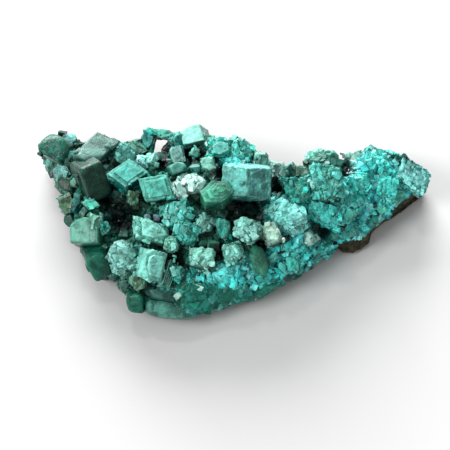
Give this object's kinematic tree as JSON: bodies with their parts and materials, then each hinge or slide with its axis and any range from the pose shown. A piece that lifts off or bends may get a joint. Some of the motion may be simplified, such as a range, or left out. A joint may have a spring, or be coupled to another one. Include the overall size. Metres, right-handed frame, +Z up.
{
  "type": "mineral specimen",
  "caption": "Dioptase cluster: a crust of blocky green-blue crystals and fine druse on a thin slab of brown host rock, with a flat underside to rest on.",
  "frame": {"origin": "on the plane of the rock's flat underside, below the middle of the whole specimen's box", "axes": "+X along the specimen to its thin tail, +Y to its back edge, +Z up out of the flat underside"},
  "size_m": [0.059, 0.0324, 0.017],
  "materials": {
    "host_rock": "rough",
    "dioptase": "glossy"
  },
  "bodies": {
    "root": {"host_rock": "host_rock", "dioptase_crystals": "dioptase"}
  },
  "joints": []
}
